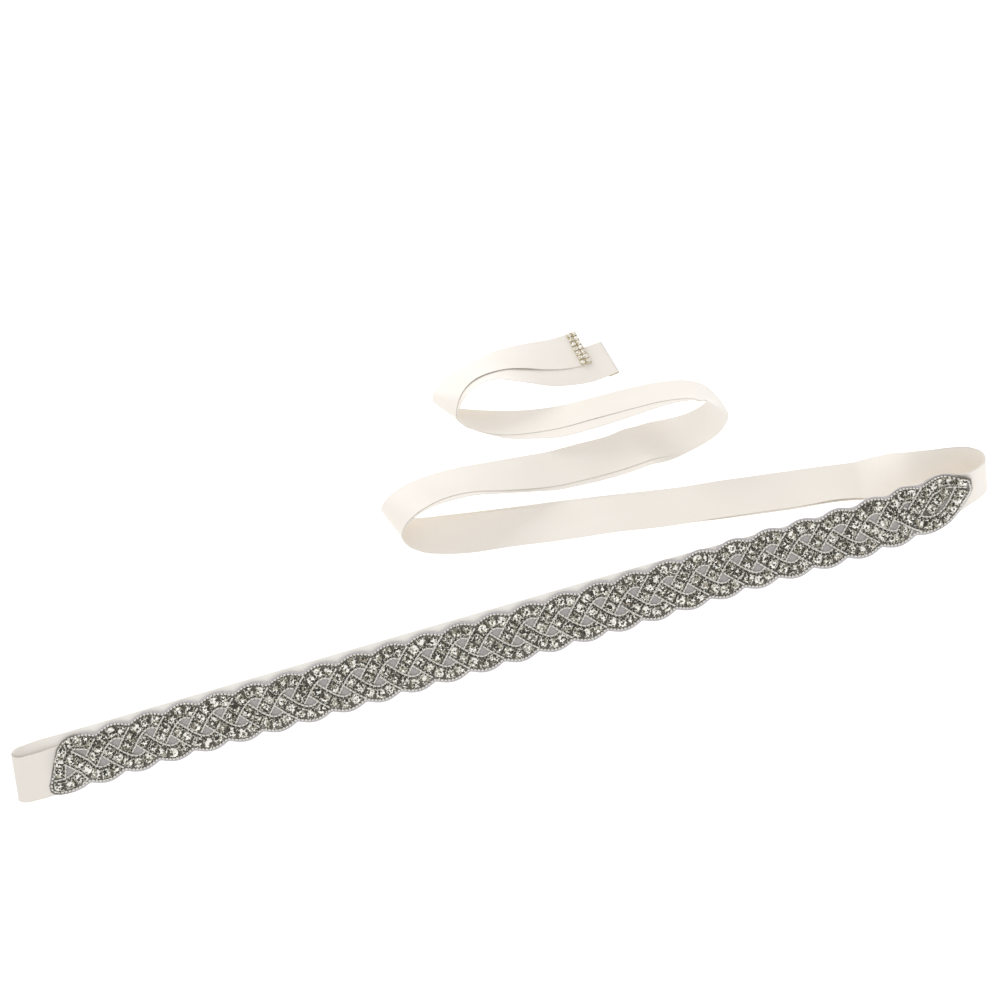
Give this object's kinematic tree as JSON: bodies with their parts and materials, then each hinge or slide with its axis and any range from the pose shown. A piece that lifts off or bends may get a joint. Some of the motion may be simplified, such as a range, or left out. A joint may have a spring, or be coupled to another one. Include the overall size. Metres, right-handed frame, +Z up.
{
  "type": "bridal sash",
  "caption": "Satin ribbon sash folded double and laid in flat curls, with a plaited stone applique along its front run and a stone trim across each end.",
  "frame": {"origin": "centre of the sash's footprint, on the table it lies on", "axes": "+X along the front run towards the right loop, +Y away from the front run over the other runs, +Z up"},
  "size_m": [0.5571, 0.2155, 0.0267],
  "materials": {
    "satin": "ivory satin ribbon, soft sheen across its width",
    "stones": "clear rhinestones and silver seed beads sewn on grey net",
    "end_trim": "small clear stones in gilt settings"
  },
  "bodies": {
    "root": {"front_layer_1": "satin", "front_layer_2": "satin", "right_loop_layer_1": "satin", "right_loop_layer_2": "satin", "second_run_layer_1": "satin", "second_run_layer_2": "satin", "left_curl_layer_1": "satin", "left_curl_layer_2": "satin", "third_run_layer_1": "satin", "third_run_layer_2": "satin", "right_turn_layer_1": "satin", "right_turn_layer_2": "satin", "fourth_run_layer_1": "satin", "fourth_run_layer_2": "satin", "far_curl_layer_1": "satin", "far_curl_layer_2": "satin", "tail_layer_1": "satin", "tail_layer_2": "satin", "left_fold": "satin", "applique": "stones", "end_trim_lower": "end_trim", "end_trim_upper": "end_trim"}
  },
  "joints": []
}
